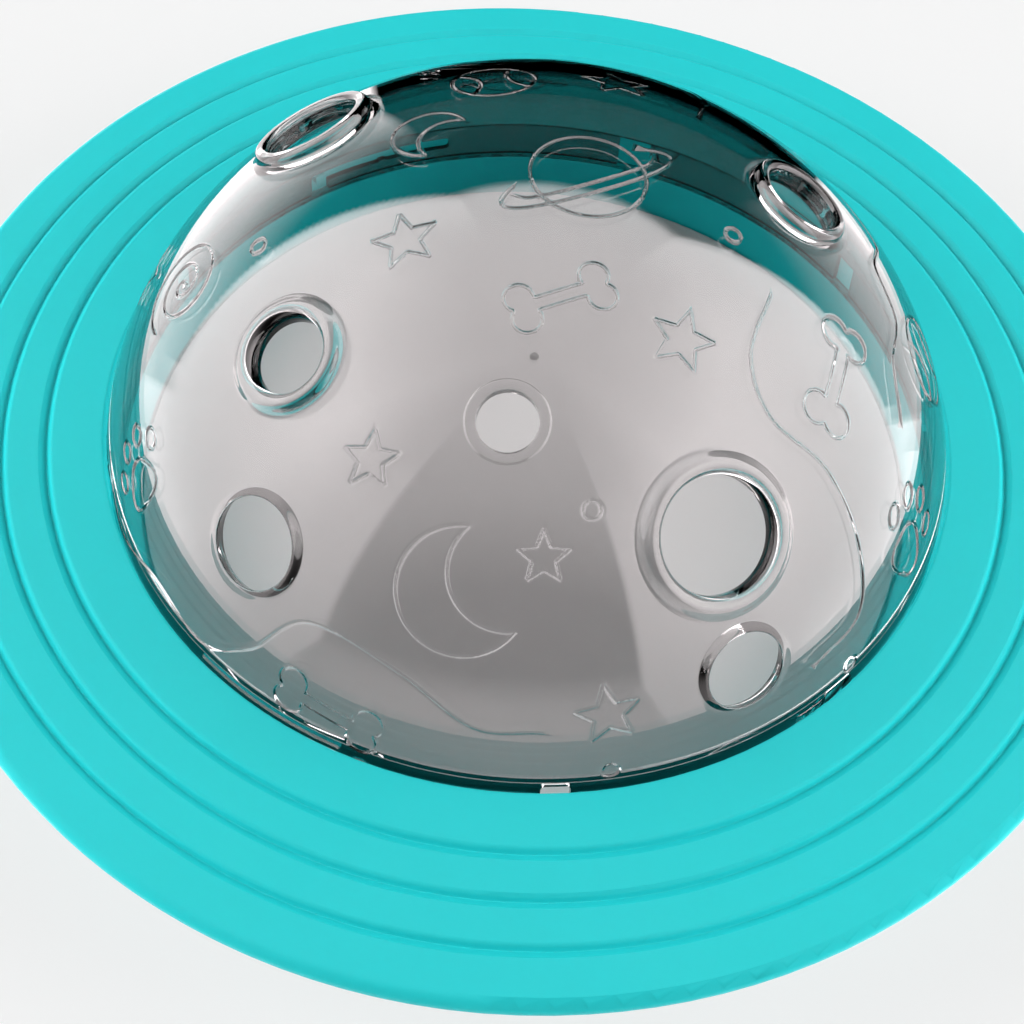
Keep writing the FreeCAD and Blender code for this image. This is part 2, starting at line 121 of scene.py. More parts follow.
class Shader:
    """The node tree of one material."""

    def __init__(self, name: str) -> None:
        """Make an empty material of a name."""
        self.material = bpy.data.materials.new(name)
        self.material.use_nodes = True
        self.tree = self.material.node_tree
        self.tree.nodes.clear()

    def node(
        self,
        kind: str,
        settings: dict | None = None,
        sockets: dict | None = None,
        output: str | int = 0,
        output_type: str | None = None,
    ) -> Value:
        """Add one node.

        Args:
            kind: The node's type.
            settings: Its properties, set first.
            sockets: Numbers, colours or sockets by input name or number.
            output: The output that is wanted.
            output_type: The type of that output, where several share a name.

        Returns:
            The wanted output.
        """
        made = self.tree.nodes.new(kind)
        for name, setting in (settings or {}).items():
            setattr(made, name, setting)
        for name, value in (sockets or {}).items():
            if isinstance(value, Value):
                self.tree.links.new(value.socket, made.inputs[name])
            else:
                made.inputs[name].default_value = value
        if output_type is None:
            return Value(self, made.outputs[output]) if made.outputs else Value(self, made.inputs[0])
        return Value(self, next(o for o in made.outputs if o.name == output and o.type == output_type))

    def place(self) -> Value:
        """Position on the object in metres."""
        return self.node("ShaderNodeTexCoord", output="Object")

    def noise(self, scale: float, detail: float) -> Value:
        """Smooth random values from 0 to 1, with a scale in waves per metre and a number of octaves."""
        sockets = {"Vector": self.place(), "Scale": scale, "Detail": detail}
        return self.node("ShaderNodeTexNoise", None, sockets)

    def blend(self, factor: Value, low: tuple, high: tuple) -> Value:
        """Colour between two colours, at a factor from 0 to 1."""
        sockets = {MIX_FACTOR: factor, MIX_LOW: low, MIX_HIGH: high}
        return self.node("ShaderNodeMix", {"data_type": "RGBA"}, sockets, "Result", "RGBA")

    def bump(self, height: Value, depth: float) -> Value:
        """Normal that follows a height from 0 to 1, where 1 stands for a depth in metres."""
        return self.node("ShaderNodeBump", None, {"Height": height, "Distance": depth})

    def principled(self, sockets: dict) -> Value:
        """Principled surface with some of its sockets set."""
        return self.node("ShaderNodeBsdfPrincipled", None, sockets)

    def finish(self, surface: Value) -> bpy.types.Material:
        """Connect the surface and hand the material over."""
        self.node("ShaderNodeOutputMaterial", None, {"Surface": surface})
        return self.material


@dataclass(frozen=True)
class MouldedPlastic:
    """Opaque moulded plastic with a fine moulding texture and faint cloudiness."""

    name: str
    colour: Triple
    shade: float = 0.94
    roughness: float = 0.34
    roughness_spread: float = 0.08
    grain_scale: float = 2600.0
    grain_detail: float = 2.0
    grain_depth: float = 0.000012
    cloud_scale: float = 22.0
    cloud_detail: float = 3.0
    specular: float = 0.5
    ior: float = 1.49

    def material(self) -> bpy.types.Material:
        """Build the material."""
        shader = Shader(self.name)
        cloud = shader.noise(self.cloud_scale, self.cloud_detail)
        grain = shader.noise(self.grain_scale, self.grain_detail)
        dark = opaque(tuple(channel * self.shade for channel in self.colour))
        sockets = {
            "Base Color": shader.blend(cloud, dark, opaque(self.colour)),
            "Roughness": self.roughness + (cloud - NOISE_MIDDLE) * self.roughness_spread,
            "Specular IOR Level": self.specular,
            "IOR": self.ior,
            "Normal": shader.bump(grain, self.grain_depth),
        }
        return shader.finish(shader.principled(sockets))


@dataclass(frozen=True)
class ClearPlastic:
    """Polished clear plastic with a tint; light reaches what lies under it."""

    name: str
    tint: Triple
    ior: float = 1.5
    roughness: float = 0.0
    shadow_share: float = 0.1

    def material(self) -> bpy.types.Material:
        """Build the material."""
        shader = Shader(self.name)
        sockets = {
            "Base Color": opaque(self.tint),
            "Roughness": self.roughness,
            "IOR": self.ior,
            "Transmission Weight": 1.0,
        }
        glass = shader.principled(sockets)
        through = opaque(tuple(channel**self.shadow_share for channel in self.tint))
        open_way = shader.node("ShaderNodeBsdfTransparent", None, {"Color": through})
        shadow = shader.node("ShaderNodeLightPath", output="Is Shadow Ray")
        diffuse = shader.node("ShaderNodeLightPath", output="Is Diffuse Ray")
        either = shader.node("ShaderNodeMath", {"operation": "MAXIMUM"}, {0: shadow, 1: diffuse})
        return shader.finish(shader.node("ShaderNodeMixShader", None, {0: either, 1: glass, 2: open_way}))


@dataclass(frozen=True)
class BrushedSteel:
    """Zinc plated steel with fine turning marks."""

    name: str
    colour: Triple = (0.62, 0.62, 0.63)
    roughness: float = 0.32
    roughness_spread: float = 0.2
    streak_scale: float = 5200.0
    streak_detail: float = 3.0
    streak_depth: float = 0.00002

    def material(self) -> bpy.types.Material:
        """Build the material."""
        shader = Shader(self.name)
        streak = shader.noise(self.streak_scale, self.streak_detail)
        sockets = {
            "Base Color": opaque(self.colour),
            "Metallic": 1.0,
            "Roughness": self.roughness + (streak - NOISE_MIDDLE) * self.roughness_spread,
            "Normal": shader.bump(streak, self.streak_depth),
        }
        return shader.finish(shader.principled(sockets))


@dataclass(frozen=True)
class StudioPaint:
    """Matt paint of the floor and the wall, lit up where it is seen so that only faint shadows show on it."""

    name: str
    colour: Triple
    seen: float
    seen_share: float

    def material(self) -> bpy.types.Material:
        """Build the material."""
        shader = Shader(self.name)
        matt = shader.node("ShaderNodeBsdfDiffuse", None, {"Color": opaque(self.colour)})
        pale = shader.node("ShaderNodeEmission", None, {"Strength": self.seen})
        kinds = ("Camera", "Glossy", "Transmission")
        rays = [shader.node("ShaderNodeLightPath", output=f"Is {kind} Ray") for kind in kinds]
        share = (rays[0] + rays[1] + rays[2]) * self.seen_share
        made = shader.finish(shader.node("ShaderNodeMixShader", None, {0: share, 1: matt, 2: pale}))
        made.cycles.emission_sampling = "NONE"
        return made


TEAL = MouldedPlastic("teal_polypropylene", (0.019, 0.66, 0.69), roughness=0.42, specular=0.06)
WHITE = MouldedPlastic("white_floor_plastic", (0.775, 0.735, 0.735), roughness=0.45, specular=0.2)
GASKET = MouldedPlastic("grey_gasket_silicone", (0.3, 0.31, 0.32), roughness=0.6)
RUBBER = MouldedPlastic("dark_foot_rubber", (0.03, 0.032, 0.032), roughness=0.7, grain_depth=0.00004)
STEEL = BrushedSteel("zinc_plated_steel")
CLEAR = ClearPlastic("clear_dome_plastic", (0.41, 0.405, 0.405))
SEAL = ClearPlastic("clear_seal_silicone", (0.1, 0.5, 0.5), ior=1.41, roughness=0.2)


def dress(node: str, material: bpy.types.Material) -> None:
    """Give a CAD node one material for every slot of its mesh.

    Args:
        node: The node's name.
        material: Its finish.
    """
    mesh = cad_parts[node].data
    mesh.materials.clear()
    mesh.materials.append(material)
    LOG.info("dressed %s in %s", node, material.name)


def unit(vectors: Array) -> Array:
    """Rows of an array scaled to length one."""
    return vectors / np.maximum(np.linalg.norm(vectors, axis=-1, keepdims=True), LEAST_LENGTH)


def spokes(turn: Array) -> Array:
    """Unit vectors of the plane at angles in radians."""
    return np.stack([np.cos(turn), np.sin(turn)], -1)


def full_turn(count: int) -> Array:
    """Evenly spaced angles once round, in radians."""
    return np.linspace(0, 2 * math.pi, count, endpoint=False)


def quarter(count: int) -> Array:
    """Evenly spaced angles of a quarter turn, in radians, both ends included."""
    return np.linspace(0, math.pi / 2, count)


def tree_of(spots: Array) -> KDTree:
    """Search tree of points in space."""
    tree = KDTree(len(spots))
    for index, spot in enumerate(spots):
        tree.insert(spot, index)
    tree.balance()
    return tree


def add_object(name: str, data: bpy.types.ID) -> bpy.types.Object:
    """New object in the scene."""
    made = bpy.data.objects.new(name, data)
    bpy.context.scene.collection.objects.link(made)
    return made


def add_mesh(name: str, points: list, faces: list, material: bpy.types.Material) -> bpy.types.Object:
    """New mesh object in the scene.

    Args:
        name: The name of the object and its mesh.
        points: Positions in metres.
        faces: Vertex numbers of each face.
        material: Its finish.

    Returns:
        The object.
    """
    mesh = bpy.data.meshes.new(name)
    mesh.from_pydata(points, [], faces)
    mesh.materials.append(material)
    return add_object(name, mesh)


class MappedFace:
    """A face of the dome that has a flat map."""

    first_length = 0.0

    def from_chart(self, flat: Array) -> tuple[Array, Array]:
        """Positions and normals of places on the flat map."""
        return self.points(np.hypot(flat[:, 0], flat[:, 1]), np.arctan2(flat[:, 1], flat[:, 0]))


@dataclass(frozen=True)
class SkirtFace(MappedFace):
    """Inner face of the thin skirt in millimetres: a cylinder, mapped flat as a ring."""

    radius: float
    top_z: float
    outward: float = -1.0

    @property
    def first_length(self) -> float:
        """Map radius of the top edge."""
        return self.radius

    def points(self, length: Array, azimuth: Array) -> tuple[Array, Array]:
        """Places on the face.

        Args:
            length: Map radius.
            azimuth: Direction about the axis, in radians.

        Returns:
            Positions and normals.
        """
        across = spokes(azimuth)
        position = np.column_stack([across * self.radius, self.top_z + self.radius - length])
        return position, np.column_stack([across, np.zeros(len(length))]) * self.outward

    def chart(self, position: Array) -> Array:
        """Flat map of places on the face: the top edge inside, the lower edge outside."""
        length = self.radius + self.top_z - position[:, 2]
        return unit(position[:, :2]) * length[:, None]


@dataclass(frozen=True)
class ShellFace(MappedFace):
    """One face of the dome in millimetres: an ellipse from the apex, then a straight skirt."""

    half_width: float
    half_height: float
    centre_z: float
    join_z: float
    outward: float = 1.0
    join_slack: float = 0.001
    table_rows: int = 4000

    @cached_property
    def table(self) -> tuple[Array, Array]:
        """Angles of the ellipse from the apex to the skirt, and the arc length down to each."""
        join = math.asin((self.join_z - self.centre_z) / self.half_height)
        angle = np.linspace(math.pi / 2, join, self.table_rows)
        r = self.half_width * np.cos(angle)
        z = self.half_height * np.sin(angle)
        steps = np.hypot(np.diff(r), np.diff(z))
        return angle, np.concatenate([[0.0], np.cumsum(steps)])

    def radius(self, height: Array) -> Array:
        """Radius of the face at heights."""
        rise = (np.maximum(height, self.join_z) - self.centre_z) / self.half_height
        return self.half_width * np.sqrt(1 - rise**2)

    def tangent_frame(self, azimuth: float, lean: float) -> tuple[Array, ...]:
        """Place whose normal has a direction and a lean from upright, in degrees.

        Args:
            azimuth: Direction about the axis.
            lean: Angle between the normal and the axis.

        Returns:
            The place, the normal and two directions across it, the first level.
        """
        turn = math.radians(azimuth)
        side, rise = math.sin(math.radians(lean)), math.cos(math.radians(lean))
        across = np.array([math.cos(turn), math.sin(turn), 0.0])
        axis = across * side + np.array([0.0, 0.0, rise])
        m = math.hypot(self.half_width * side, self.half_height * rise)
        centre = across * self.half_width**2 * side / m
        centre[2] = self.centre_z + self.half_height**2 * rise / m
        first = np.array([-math.sin(turn), math.cos(turn), 0.0])
        return centre, axis, first, np.cross(axis, first)

    def points(self, length: Array, azimuth: Array) -> tuple[Array, Array]:
        """Places on the face.

        Args:
            length: Arc length down from the apex.
            azimuth: Direction about the axis, in radians.

        Returns:
            Positions and normals.
        """
        angles, lengths = self.table
        angle = np.interp(length, lengths, angles)
        below = np.maximum(length - lengths[-1], 0.0)
        r = self.half_width * np.cos(angle)
        z = self.centre_z + self.half_height * np.sin(angle) - below
        side = np.cos(angle) / self.half_width
        rise = np.where(below > self.join_slack, 0.0, np.sin(angle) / self.half_height)
        across = spokes(azimuth)
        position = np.column_stack([across * r[:, None], z])
        normal = unit(np.column_stack([across * side[:, None], rise])) * self.outward
        return position, normal

    def chart(self, position: Array) -> Array:
        """Flat map of places on the face: arc length from the apex along each azimuth.

        Args:
            position: Positions on the face.

        Returns:
            Two map coordinates for each.
        """
        angles, lengths = self.table
        r = np.hypot(position[:, 0], position[:, 1])
        angle = np.arctan2((position[:, 2] - self.centre_z) / self.half_height, r / self.half_width)
        length = np.interp(-angle, -angles, lengths)
        length = length + np.maximum(self.join_z - position[:, 2], 0.0)
        return position[:, :2] / np.maximum(r, LEAST_RADIUS)[:, None] * length[:, None]

    def drop(self, start: Array, direction: Array) -> Array:
        """Distance from points along a direction to the ellipse's face.

        Args:
            start: Points near the face.
            direction: Unit vector out of the face.

        Returns:
            Signed distances; adding them times the direction reaches the face.
        """
        scale = np.array([1 / self.half_width, 1 / self.half_width, 1 / self.half_height])
        local = (start - np.array([0.0, 0.0, self.centre_z])) * scale
        ray = direction * scale
        a = ray @ ray
        b = local @ ray
        c = (local * local).sum(1) - 1
        return (-b + np.sqrt(np.maximum(b * b - a * c, 0.0))) / a


@dataclass(frozen=True)
class RoundLip:
    """Raised bead round a hole, in millimetres."""

    width: float
    height: float = 1.6
    rounding: float = 1.1
    flare: float = 2.4
    flare_share: float = 0.2
    undercut: float = 0.0
    inner_round: float = 0.6
    steps: int = 9

    def section(self, bore_r: float) -> list[Triple]:
        """Section from the dome's face over the bead into the bore.

        Args:
            bore_r: Radius of the bore.

        Returns:
            Radius, height, and how far the height is level instead of following the dome.
        """
        lip_r = bore_r + self.width
        spots = []
        for step in np.linspace(0, 1, self.steps):
            share = self.flare_share * step**2
            spots.append((lip_r + self.flare * (1 - step), self.height * share, share))
        for angle in quarter(self.steps)[1:]:
            share = self.flare_share + (1 - self.flare_share) * math.sin(angle)
            spots.append((lip_r - self.rounding * (1 - math.cos(angle)), self.height * share, share))
        for angle in quarter(self.steps):
            height = self.height - self.rounding * (1 - math.cos(angle))
            spots.append((bore_r + self.rounding * (1 - math.sin(angle)), height, 1.0))
        return spots


@dataclass(frozen=True)
class Mouth:
    """Soft rise round a hole that turns down into the bore, in millimetres."""

    height: float
    flare: float
    width: float
    depth: float
    undercut: float = 0.0
    inner_round: float = 0.25
    flare_steps: int = 13
    turn_steps: int = 17

    def section(self, bore_r: float) -> list[Triple]:
        """Section from the dome's face over the rise into the bore.

        Args:
            bore_r: Radius of the bore.

        Returns:
            Radius, height, and how far the height is level instead of following the dome.
        """
        top = bore_r + self.width
        spots = []
        for step in np.linspace(0, 1, self.flare_steps):
            spots.append((top + self.flare * (1 - step), self.height * step * step * (3 - 2 * step), 0.0))
        for angle in quarter(self.turn_steps)[1:]:
            height = self.height - self.depth * (1 - math.cos(angle))
            spots.append((top - self.width * math.sin(angle), height, 0.0))
        return spots


@dataclass(frozen=True)
class TreatHole:
    """A round hole in the dome, in millimetres and degrees."""

    azimuth: float
    lean: float
    bore: float
    rim: RoundLip | Mouth


def arc(x: float, y: float, width: float, height: float, start: float, end: float) -> Array:
    """Part of an ellipse.

    Args:
        x: Middle.
        y: Middle.
        width: Half width.
        height: Half height.
        start: First angle in degrees.
        end: Last angle in degrees.

    Returns:
        Points along it.
    """
    count = max(LEAST_POINTS, round(abs(end - start) / ARC_STEP))
    angle = np.radians(np.linspace(start, end, count))
    return np.column_stack([x + width * np.cos(angle), y + height * np.sin(angle)])


def closed(points: Array) -> Array:
    """Line that ends where it starts."""
    return np.concatenate([points, points[:1]])


class Figure(Enum):
    """Plain line figures for the engraving, each about two units across."""

    STAR = "star"
    PLANET = "planet"
    MOON = "moon"
    BONE = "bone"
    PAW = "paw"
    BALL = "ball"
    CLOUD = "cloud"
    WAVE = "wave"
    SPIRAL = "spiral"
    DOT = "dot"

    def lines(self) -> list[Array]:
        """Lines of the figure."""
        return getattr(self, "_" + self.value)()

    @staticmethod
    def _star() -> list[Array]:
        """Five-pointed outline."""
        angle = np.radians(90 + 36 * np.arange(10))
        reach = np.where(np.arange(10) % 2, 0.45, 1.0)
        return [closed(spokes(angle) * reach[:, None])]

    @staticmethod
    def _planet() -> list[Array]:
        """Ball with a ring that passes behind it."""
        ring = arc(0, 0, 1.0, 0.26, 143, 397)
        tilt = np.array([[math.cos(0.35), math.sin(0.35)], [-math.sin(0.35), math.cos(0.35)]])
        return [arc(0, 0, 0.6, 0.6, 0, 360), ring @ tilt, arc(0, 0, 0.78, 0.13, 190, 350) @ tilt]

    @staticmethod
    def _moon() -> list[Array]:
        """Crescent."""
        return [closed(np.concatenate([arc(0, 0, 1, 1, 60, 300), arc(0.75, 0, 0.9, 0.9, 253, 107)]))]

    @staticmethod
    def _bone() -> list[Array]:
        """Bone outline with two knobs at each end."""
        knobs = ((0.72, 0.22, -50), (-0.72, 0.22, -20), (-0.72, -0.22, 130), (0.72, -0.22, 160))
        return [closed(np.concatenate([arc(x, y, 0.27, 0.27, start, start + 250) for x, y, start in knobs]))]

    @staticmethod
    def _paw() -> list[Array]:
        """Rounded pad and four toes."""
        angle = np.radians(np.arange(0, 361, 8))
        reach = 0.46 + 0.05 * np.cos(3 * (angle - math.pi / 2))
        pad = np.column_stack([reach * np.cos(angle) * 1.12, reach * np.sin(angle) - 0.35])
        toes = ((-0.72, 0.2), (-0.27, 0.6), (0.27, 0.6), (0.72, 0.2))
        return [pad, *(arc(x, y, 0.16, 0.22, 0, 360) for x, y in toes)]

    @staticmethod
    def _ball() -> list[Array]:
        """Ball with two curved seams."""
        return [arc(0, 0, 1, 1, 0, 360), arc(-1.25, 0, 0.9, 0.9, -51, 51), arc(1.25, 0, 0.9, 0.9, 129, 231)]

    @staticmethod
    def _cloud() -> list[Array]:
        """Cloud with a flat base."""
        puffs = (arc(0.6, 0.0, 0.35, 0.35, -90, 80), arc(0.05, 0.3, 0.48, 0.42, 10, 170))
        return [closed(np.concatenate([*puffs, arc(-0.6, 0.0, 0.33, 0.35, 100, 270)]))]

    @staticmethod
    def _wave() -> list[Array]:
        """Two long wavy lines."""
        x = np.linspace(-1, 1, 60)
        return [np.column_stack([x, 0.16 * np.sin(x * 7) + y]) for y in (-0.14, 0.14)]

    @staticmethod
    def _spiral() -> list[Array]:
        """Spiral of two and a half turns."""
        angle = np.linspace(0.6, 5 * math.pi, 110)
        return [spokes(angle) * (angle / angle[-1])[:, None]]

    @staticmethod
    def _dot() -> list[Array]:
        """Small ring."""
        return [arc(0, 0, 1, 1, 0, 360)]


@dataclass(frozen=True)
class Motif:
    """One engraved figure: its place on the flat map and half width in millimetres, its turn in degrees."""

    figure: Figure
    x: float
    y: float
    size: float
    turn: float = 0.0

    def lines(self, face: "ShellFace", divide: Callable[[Array], Array]) -> list[Array]:
        """Lines of the figure on the face.

        Args:
            face: The dome's outer face.
            divide: Divides a line into short steps.

        Returns:
            Positions along each line.
        """
        centre, normal = (rows[0] for rows in face.from_chart(np.array([[self.x, self.y]])))
        azimuth, turn = math.atan2(self.y, self.x), math.radians(self.turn)
        across = np.array([-math.sin(azimuth), math.cos(azimuth)])
        uphill = np.array([-math.cos(azimuth), -math.sin(azimuth)])
        first = np.array([*across, 0.0])
        second = np.cross(normal, first)
        spin = np.array([[math.cos(turn), math.sin(turn)], [-math.sin(turn), math.cos(turn)]])
        made = []
        for line in self.figure.lines():
            flat = divide(line * self.size) @ spin
            spots = centre + np.outer(flat @ across, first) + np.outer(flat @ uphill, second)
            made.append(spots + normal * face.drop(spots, normal)[:, None])
        return made


@dataclass(frozen=True)
class Engraving:
    """Figures, winding trails and lock marks sunk into the outer face, in millimetres and degrees."""

    width: float = 1.1
    depth: float = 0.36
    step: float = 0.45
    fine_step: float = 0.08
    same_spot: float = 0.15
    bend_steps: int = 16
    rows: Levels = (-0.85, -0.5, -0.25, 0.0, 0.25, 0.5, 0.85)
    mark_count: int = 3
    mark_azimuth: float = 71.5
    mark_top: float = 30.0
    mark_width: float = 8.0
    mark_height: float = 7.6
    motifs: tuple[Motif, ...] = (
        Motif(Figure.PLANET, 8, 10, 20, 12),
        Motif(Figure.STAR, -28, -9, 7, 15),
        Motif(Figure.MOON, -26, 23, 8, -30),
        Motif(Figure.BALL, -14, 47, 9, 20),
        Motif(Figure.STAR, 14, 52, 8, 10),
        Motif(Figure.STAR, 29, -27, 7, -10),
        Motif(Figure.BONE, 4, -22, 11, 25),
        Motif(Figure.BONE, 66, -22, 13, 80),
        Motif(Figure.PAW, 100, -44, 12, 15),
        Motif(Figure.BALL, 101, 6, 10, 60),
        Motif(Figure.MOON, 58, 72, 11, 150),
        Motif(Figure.WAVE, 99, 58, 16, -60),
        Motif(Figure.PLANET, -12, 97, 13, -15),
        Motif(Figure.CLOUD, -92, 60, 14, 35),
        Motif(Figure.STAR, -106, 21, 8, 10),
        Motif(Figure.SPIRAL, -84, -2, 12, 40),
        Motif(Figure.PAW, -99, -44, 11, 20),
        Motif(Figure.MOON, -12, -82, 13, 25),
        Motif(Figure.STAR, 5, -74, 5.5, 5),
        Motif(Figure.STAR, -32, -56, 6, -8),
        Motif(Figure.STAR, 24, -105, 7, 20),
        Motif(Figure.BONE, -46, -109, 12, -30),
        Motif(Figure.DOT, 39, 2, 1.8),
        Motif(Figure.DOT, -62, -2, 1.8),
        Motif(Figure.DOT, -30, 60, 1.8),
        Motif(Figure.DOT, 14, -64, 1.8),
        Motif(Figure.DOT, 28, -119, 1.8),
        Motif(Figure.DOT, 92, -81, 1.8),
    )
    trails: tuple[tuple[Pair, ...], ...] = (
        (
            (-119, -30), (-115, -54), (-98, -72), (-84, -90), (-66, -93),
            (-48, -88), (-26, -99), (-8, -111), (9, -111),
        ),
        ((78, -84), (87, -70), (80, -56), (66, -44), (50, -38), (44, -26), (48, -10)),
        (
            (-78, 78), (-62, 68), (-46, 76), (-30, 72), (-14, 66),
            (0, 72), (16, 80), (30, 74), (36, 60), (33, 44),
        ),
        ((76, 46), (84, 34), (80, 20), (86, 6), (84, -8), (88, -22)),
    )

    @staticmethod
    def _divide(line: Array, step: float) -> Array:
        """Points at even steps along a line."""
        lengths = np.concatenate([[0.0], np.cumsum(np.linalg.norm(np.diff(line, axis=0), axis=1))])
        wanted = np.linspace(0, lengths[-1], max(LEAST_POINTS, math.ceil(lengths[-1] / step)))
        return np.column_stack([np.interp(wanted, lengths, column) for column in line.T])

    def _bend(self, spots: Array) -> Array:
        """Smooth curve through spots of the flat map.

        Args:
            spots: The spots in order.

        Returns:
            Points along the curve.
        """
        ends = np.concatenate([[2 * spots[0] - spots[1]], spots, [2 * spots[-1] - spots[-2]]])
        t = np.linspace(0, 1, self.bend_steps, endpoint=False)[:, None]
        runs = []
        for before, start, end, after in zip(ends, ends[1:], ends[2:], ends[3:]):
            square = (2 * before - 5 * start + 4 * end - after) * t**2
            cube = (3 * start - before - 3 * end + after) * t**3
            runs.append((2 * start + (end - before) * t + square + cube) / 2)
        return np.concatenate([*runs, spots[-1:]])

    def lines(self, face: ShellFace) -> list[Array]:
        """Positions along each line on the dome's outer face."""
        made = []
        for motif in self.motifs:
            made += motif.lines(face, partial(self._divide, step=self.fine_step))
        for trail in self.trails:
            made.append(face.from_chart(self._divide(self._bend(np.array(trail, float)), self.fine_step))[0])
        half = math.degrees(self.mark_width / 2 / face.half_width)
        corners = np.array([(-half, 0.0), (half, 0.0), (0.0, -self.mark_height), (-half, 0.0)])
        side = self._divide(corners, self.fine_step)
        for number in range(self.mark_count):
            turn = np.radians(side[:, 0] + self.mark_azimuth + 360 * number / self.mark_count)
            height = side[:, 1] + self.mark_top
            radius = face.radius(height)
            made.append(np.column_stack([spokes(turn) * radius[:, None], height]))
        return made

    def details(self, face: ShellFace) -> Array:
        """Map places that the mesh needs along the lines of a face."""
        found = []
        for line in self.lines(face):
            chart = self._divide(face.chart(line), self.step)
            along = unit(np.gradient(chart, axis=0))
            side = np.column_stack([-along[:, 1], along[:, 0]])
            found += [chart + side * self.width * row for row in self.rows]
        spots = np.concatenate(found)
        _, first = np.unique(np.floor(spots / self.same_spot), axis=0, return_index=True)
        return spots[np.sort(first)]

    def sink(self, face: ShellFace, place: Array, normal: Array) -> tuple[Array, Array]:
        """Lower places that lie on a line and tilt their normals.

        Args:
            face: The dome's outer face.
            place: Places on the face.
            normal: Their normals.

        Returns:
            The new places and normals.
        """
        tree = tree_of(np.concatenate(self.lines(face)))
        place, normal = place.copy(), normal.copy()
        for index, spot in enumerate(place):
            nearest, _, away = tree.find(spot)
            if away >= self.width / 2:
                continue
            phase = 2 * math.pi * away / self.width
            slope = self.depth * math.pi / self.width * math.sin(phase)
            outward = (spot - np.array(nearest)) / max(away, LEAST_RADIUS)
            outward -= normal[index] * (outward @ normal[index])
            place[index] -= normal[index] * self.depth * (1 + math.cos(phase)) / 2
            normal[index] = unit(normal[index] - outward * slope)
        return place, normal


@dataclass
class MeshParts:
    """Vertices, faces and face-corner normals that grow piece by piece."""

    vertices: list[Array] = field(default_factory=list)
    faces: list[tuple[int, ...]] = field(default_factory=list)
    normals: list[Array] = field(default_factory=list)
    count: int = 0

    def add_points(self, points: Array) -> Array:
        """Add vertices at positions in millimetres and return their numbers."""
        self.vertices.append(points)
        start = self.count
        self.count += len(points)
        return np.arange(start, self.count)

    def add_faces(self, corners: Array, normals: Array) -> None:
        """Add faces, one row of vertex numbers each, with a normal for each corner."""
        self.faces.extend(map(tuple, corners.tolist()))
        self.normals.append(normals.reshape(-1, 3))

    def add_grid(self, numbers: Array, normals: Array) -> None:
        """Add quads between closed rings of vertices.

        Args:
            numbers: Vertex numbers, one row a ring.
            normals: A normal for each of them.
        """
        after = np.roll(np.arange(numbers.shape[1]), -1)
        quads = np.stack([numbers[:-1], numbers[:-1, after], numbers[1:, after], numbers[1:]], -1)
        corner = np.stack([normals[:-1], normals[:-1, after], normals[1:, after], normals[1:]], -2)
        self.add_faces(quads.reshape(-1, 4), corner.reshape(-1, 3))

    def build(self, name: str, material: bpy.types.Material) -> bpy.types.Object:
        """Make the object.

        Args:
            name: Its name.
            material: Its finish.

        Returns:
            The object, linked to the scene.
        """
        made = add_mesh(name, (np.concatenate(self.vertices) * MM).tolist(), self.faces, material)
        made.data.polygons.foreach_set("use_smooth", [True] * len(self.faces))
        made.data.normals_split_custom_set(np.concatenate(self.normals).tolist())
        return made


def triangles(chart: Array, edges: Array) -> Array:
    """Triangulate points of a flat map.

    Args:
        chart: Two coordinates for each point.
        edges: Pairs of points that must be joined.

    Returns:
        Three point numbers a triangle, turning left.
    """
    spots = [Vector(spot) for spot in chart.tolist()]
    result = delaunay_2d_cdt(spots, edges.tolist(), [], 0, JOIN_DISTANCE, True)
    origin = np.array([sources[0] if sources else -1 for sources in result[3]])
    found = origin[np.array(result[2])]
    return found[(found >= 0).all(1)]


